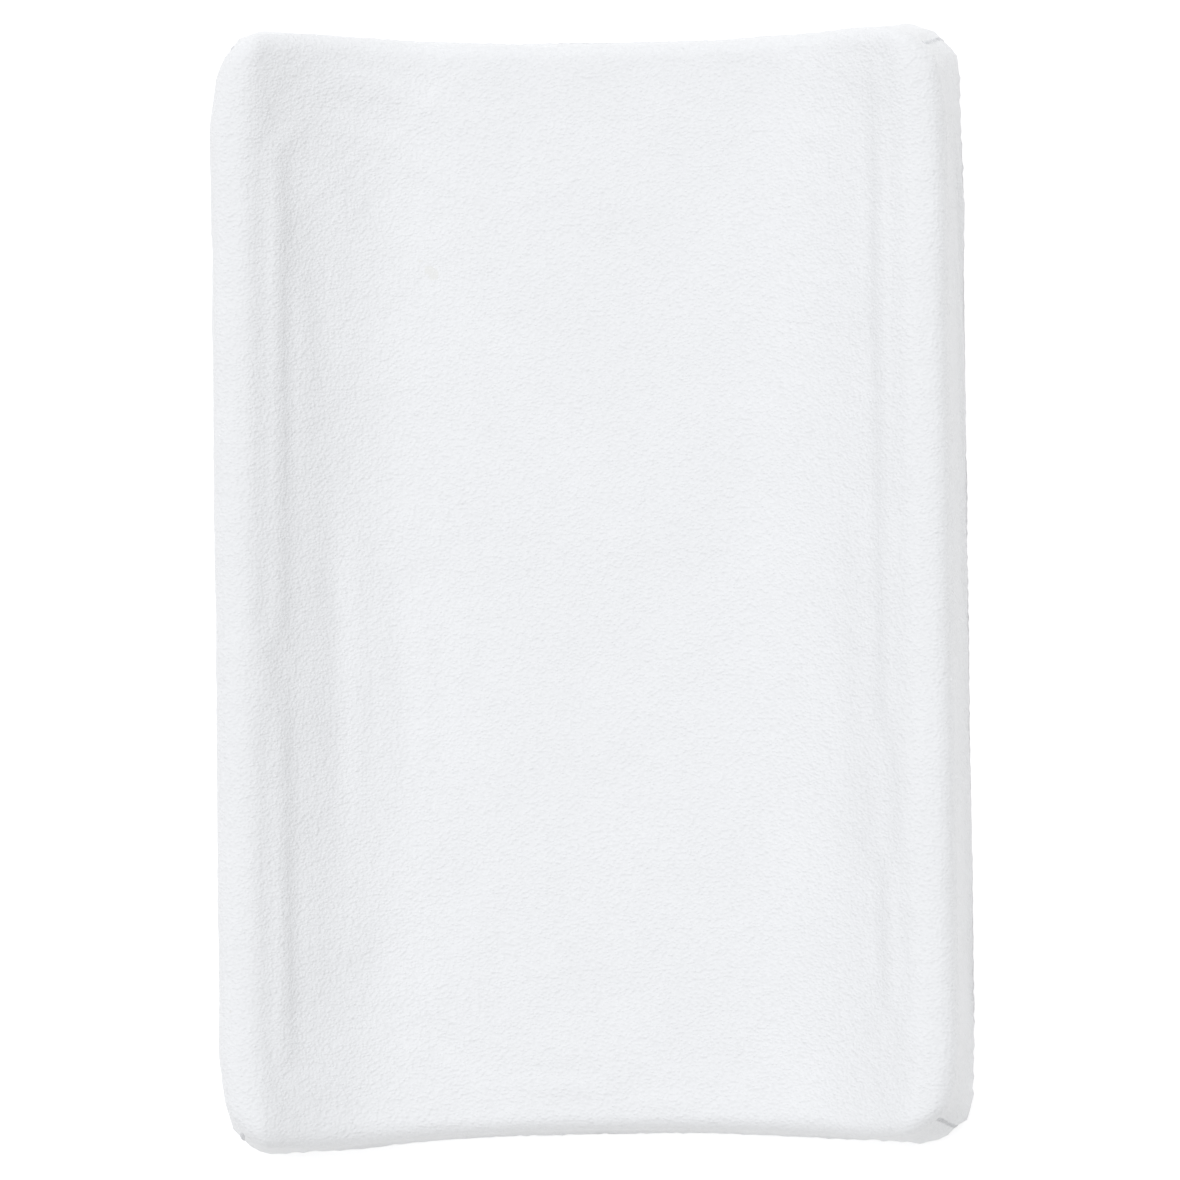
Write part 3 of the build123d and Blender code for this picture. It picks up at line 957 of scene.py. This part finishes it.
def make_base_panel(side, name):
    """One base panel: soft stepped underside, rounded edge, and a low wall up to its seam."""
    skin = COVER_THICKNESS + 0.0002
    wall_inset = skin + FOOT_REACH
    plan, outward = plan_grid(
        HALF_WIDTH - wall_inset, HALF_LENGTH - wall_inset, PLAN_CORNER - wall_inset, BASE_CELL
    )
    column = plan[:, plan.shape[1] // 2, 0]
    kept = np.where(side * column > SLOT_X * 1.3)[0]
    plan, outward = plan[kept], outward[kept]
    inner = 0 if side > 0 else len(kept) - 1
    y_line = plan[inner, :, 1]
    at_slot = 1 - smooth_step(np.abs(y_line), SLOT_Y, SLOT_Y + 0.006)
    edge_line = np.column_stack([side * (0.0003 + (SLOT_X - 0.0003) * at_slot), y_line])
    extra = [edge_line * (1 - t) + plan[inner] * t for t in (0.0, 0.35, 0.7)]
    rows = np.array(extra if side > 0 else extra[::-1])
    plan = np.concatenate([rows, plan] if side > 0 else [plan, rows])
    none = np.zeros_like(rows)
    outward = np.concatenate([none, outward] if side > 0 else [outward, none])
    nx, ny = plan.shape[:2]
    x, y = plan[..., 0], plan[..., 1]
    z = base_height(x, y)
    flat = np.column_stack([plan.reshape(-1, 2), np.zeros(nx * ny)])
    puff = 0.00045 * np.maximum(unevenness(flat, 0.045, 5), -0.2).reshape(nx, ny)
    z = z + puff + 0.0001
    points = [np.stack([x, y, z], axis=-1).reshape(-1, 3)]
    index = np.arange(nx * ny).reshape(nx, ny)
    faces = [
        (index[i, j], index[i, j + 1], index[i + 1, j + 1], index[i + 1, j])
        for i in range(nx - 1)
        for j in range(ny - 1)
    ]
    if side > 0:
        path = [(i, 0) for i in range(nx - 1)] + [(nx - 1, j) for j in range(ny - 1)]
        path += [(i, ny - 1) for i in range(nx - 1, -1, -1)]
    else:
        path = [(i, ny - 1) for i in range(nx - 1, 0, -1)] + [(0, j) for j in range(ny - 1, 0, -1)]
        path += [(i, 0) for i in range(nx)]
    edge = np.array([index[at] for at in path])
    way = np.array([outward[at] for at in path])
    size = np.linalg.norm(way, axis=1, keepdims=True)
    ends = np.column_stack([np.zeros(len(path)), np.sign(points[0][edge][:, 1])])
    way = np.where(size > 1e-6, way / np.maximum(size, 1e-9), ends)
    start = points[0][edge]
    rings = []
    for angle in np.linspace(-math.pi / 2, LEAN, 4)[1:]:
        reach = FOOT_RADIUS * math.cos(angle)
        rings.append((reach, FLAT_Z + FOOT_RADIUS * (1 + math.sin(angle))))
    reach, low = rings[-1]
    for share in (0.33, 0.66, 1.0):
        z_at = low + (LINER_SEAM_Z - low) * share
        rings.append((reach - (z_at - low) * math.tan(LEAN), z_at))
    previous = edge
    for reach, height in rings:
        ids = sum(len(p) for p in points) + np.arange(len(edge))
        points.append(np.column_stack([start[:, :2] + way * reach, np.full(len(edge), height)]))
        faces += list(zip(ids[:-1], ids[1:], previous[1:], previous[:-1]))
        previous = ids
    panel = make_object(name, settle(np.concatenate(points)), [f[::-1] for f in faces])
    panel.data.flip_normals()
    thicken(panel, LINER_THICKNESS, -1)
    place(panel, "liner", ["liner_base_left" if side < 0 else "liner_base_right"])
    return panel


def make_topstitch(side, name):
    """The row of stitches that holds a base panel to its zip tape."""
    x, pitch = side * (SLOT_X + 0.003), 0.0042
    count = round(2 * SLOT_Y / pitch)
    z = CHANNEL_Z - 0.00005
    paths = []
    for k in range(count):
        y = -SLOT_Y + (k + 0.5) * pitch
        paths.append(arched((x, y - pitch * 0.36, z), (x, y + pitch * 0.36, z), (0, 0, -0.0003), 4))
    place(tubes(name, paths, 0.0002, 5), "seam_thread")


DOT_PITCH = 0.0095
DOT_RADIUS = 0.0023


def make_grip(name, node):
    """A non-slip patch with raised dots in staggered rows."""
    low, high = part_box(node)
    middle = np.array([(low.x + high.x) / 2, (low.y + high.y) / 2])
    half = np.array([(high.x - low.x) / 2, (high.y - low.y) / 2])
    plan, _ = plan_grid(half[0], half[1], 0.012, 0.010)
    nx, ny = plan.shape[:2]
    back, face = high.z - 0.00005, low.z + 0.0006
    index = np.arange(nx * ny).reshape(nx, ny)
    flat = plan.reshape(-1, 2) + middle
    points = list(np.column_stack([flat, np.full(len(flat), face)]))
    faces = [
        (index[i, j], index[i, j + 1], index[i + 1, j + 1], index[i + 1, j])
        for i in range(nx - 1)
        for j in range(ny - 1)
    ]
    patch = make_object(name, points, faces)
    thicken(patch, back - face, -1)
    dots, dot_faces = [], []
    pitch, radius, sides = DOT_PITCH, DOT_RADIUS, 10
    rows = int((2 * half[1] - 0.02) / (pitch * 0.87))
    for row in range(rows):
        shift = pitch / 2 if row % 2 else 0.0
        y = (row - (rows - 1) / 2) * pitch * 0.87
        for col in range(-5, 6):
            x = col * pitch + shift
            if abs(x) > half[0] - 0.006:
                continue
            first = len(dots)
            for size, drop in ((1.0, 0.0), (0.88, 0.6), (0.5, 0.95)):
                for turn in np.arange(sides) * 2 * math.pi / sides:
                    dots.append((
                        middle[0] + x + radius * size * math.cos(turn),
                        middle[1] + y + radius * size * math.sin(turn),
                        face + 0.0001 - (face - low.z) * drop,
                    ))
            for k in range(2):
                for s in range(sides):
                    t = (s + 1) % sides
                    a, b = first + k * sides, first + (k + 1) * sides
                    dot_faces.append((a + t, a + s, b + s, b + t))
            dot_faces.append([first + 2 * sides + s for s in reversed(range(sides))])
            dot_faces.append([first + s for s in range(sides)])
    raised = make_object(f"{name}_dots", dots, dot_faces)
    place(patch, "grip", [node])
    place(raised, "grip")
    return patch


# ------------------------------------------------------------------ filling, inside the liner

def soften(node, name, slot, voxel, seed):
    """A foam piece as it is cut: the node's form with eased edges and a slightly uneven face."""
    source = frame["nodes"][node]
    piece = bpy.data.objects.new(name, source.data.copy())
    bpy.context.scene.collection.objects.link(piece)
    remesh = piece.modifiers.new("even", "REMESH")
    remesh.mode = "VOXEL"
    remesh.voxel_size = voxel
    remesh.use_smooth_shade = True
    ease = piece.modifiers.new("ease", "SMOOTH")
    ease.factor, ease.iterations = 0.5, 4
    apply_modifiers(piece)
    points, normals = points_of(piece), normals_of(piece)
    lift = 0.0005 * unevenness(points, 0.03, seed) - 0.0006
    set_points(piece, settle(points + normals * lift[:, None]))
    place(piece, slot, [node])
    return piece


def make_wrap():
    """The wadding, laid over the foam and turned under its edge."""
    surface = PadSurface(1.5 * CELL)
    wrap = surface.piece("fibre_wrap_wadding")
    inset = COVER_THICKNESS + LINER_THICKNESS + 0.0006
    lift = -inset + 0.0005 * unevenness(points_of(wrap), 0.02, 9)
    moved = points_of(wrap) + normals_of(wrap) * lift[:, None]
    set_points(wrap, moved)
    thicken(wrap, WRAP_THICKNESS - 0.001)
    place(wrap, "fibre", ["fibre_wrap"])
    return wrap


# ------------------------------------------------------------------ the object

cover, surface, outer = make_cover()
seams = list(make_corner_seams(surface, outer))
casing, elastic, thread = make_hem()
label = make_label()
make_liner_uppers()
for side, name in ((-1, "left"), (1, "right")):
    make_base_panel(side, f"liner_base_skin_{name}")
    make_topstitch(side, f"zip_topstitch_{name}")
    make_grip(f"grip_patch_{name}", f"grip_pad_{name}")
    soften(f"foam_bolster_{name}", f"foam_bolster_{name}_cut", "foam", 0.005, 11 + side)
soften("foam_slab", "foam_slab_cut", "foam", 0.006, 14)
make_wrap()

for node, slot in {
    "zip_tape_left": "zip_tape",
    "zip_tape_right": "zip_tape",
    "zip_teeth_left": "zip_plastic",
    "zip_teeth_right": "zip_plastic",
    "zip_stops": "zip_plastic",
    "zip_slider": "zip_metal",
    "zip_pull_pin": "zip_metal",
    "zip_pull_tab": "zip_metal",
}.items():
    part = frame["nodes"][node]
    part.data.materials.clear()
    part.data.materials.append(MATERIALS[slot])

# ------------------------------------------------------------------ floor, light and camera

FLOOR_SIZE = 14.0
CAMERA_DISTANCE = 3.0
LEAN_RIGHT = math.radians(6.0)  # how far the camera stands to the right of straight above
LEAN_FOOT = math.radians(1.5)  # and towards the foot
CAMERA_ROLL = math.radians(0.65)
AIM = Vector((0.0025, -0.003, DISH_Z))
SENSOR = 36.0
LENS = 138.6
SUN_POWER = 1.88
SUN_SPREAD = math.radians(60)
SUN_FROM = (-0.15, 0.33, 1.0)
SURROUND = 0.54


def make_floor():
    """A wide plain floor under the pad."""
    half = FLOOR_SIZE / 2
    corners = [(-half, -half, 0), (half, -half, 0), (half, half, 0), (-half, half, 0)]
    floor = make_object("floor", corners, [(0, 1, 2, 3)])
    material = bpy.data.materials.new("floor_white")
    material.use_nodes = True
    shader = material.node_tree.nodes["Principled BSDF"]
    shader.inputs["Base Color"].default_value = (0.72, 0.72, 0.72, 1)
    shader.inputs["Roughness"].default_value = 0.9
    shader.inputs["Emission Color"].default_value = (1, 1, 1, 1)
    shader.inputs["Emission Strength"].default_value = 0.42
    # Clear from beneath, so that the pad's underside can be looked at.
    nodes, links = material.node_tree.nodes, material.node_tree.links
    sides = nodes.new("ShaderNodeMixShader")
    links.new(nodes.new("ShaderNodeNewGeometry").outputs["Backfacing"], sides.inputs["Fac"])
    links.new(shader.outputs["BSDF"], sides.inputs[1])
    links.new(nodes.new("ShaderNodeBsdfTransparent").outputs["BSDF"], sides.inputs[2])
    links.new(sides.outputs["Shader"], nodes["Material Output"].inputs["Surface"])
    floor.data.materials.append(material)
    floor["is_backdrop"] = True


def make_light():
    """A wide soft sun from above, a little to the left and the head end, and a plain surround."""
    data = bpy.data.lights.new("soft_sun", "SUN")
    data.energy, data.angle = SUN_POWER, SUN_SPREAD
    data.color = (0.955, 0.975, 1.0)
    sun = bpy.data.objects.new("soft_sun", data)
    bpy.context.scene.collection.objects.link(sun)
    sun.rotation_euler = Vector(SUN_FROM).to_track_quat("Z", "Y").to_euler()
    world = bpy.data.worlds.new("surround")
    world.use_nodes = True
    sky = world.node_tree.nodes["Background"]
    sky.inputs["Color"].default_value = (1.0, 0.995, 0.985, 1)
    sky.inputs["Strength"].default_value = SURROUND
    bpy.context.scene.world = world
    bpy.context.scene.view_settings.view_transform = "Standard"


def make_camera():
    """Nearly straight above, leaning a little to the right and to the foot."""
    data = bpy.data.cameras.new("camera")
    data.sensor_width, data.lens = SENSOR, LENS
    camera = bpy.data.objects.new("camera", data)
    bpy.context.scene.collection.objects.link(camera)
    turn = Euler((LEAN_FOOT, LEAN_RIGHT, 0)).to_matrix()
    back = turn @ Vector((0, 0, 1))
    camera.location = AIM + back * CAMERA_DISTANCE
    roll = Euler((0, 0, -CAMERA_ROLL)).to_matrix()
    camera.rotation_euler = (turn @ roll).to_euler()
    bpy.context.scene.camera = camera


make_floor()
make_light()
make_camera()

boxes = {"cad": cad_box, "visual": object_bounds()}
{name: [list(corner) for corner in box] for name, box in boxes.items()}
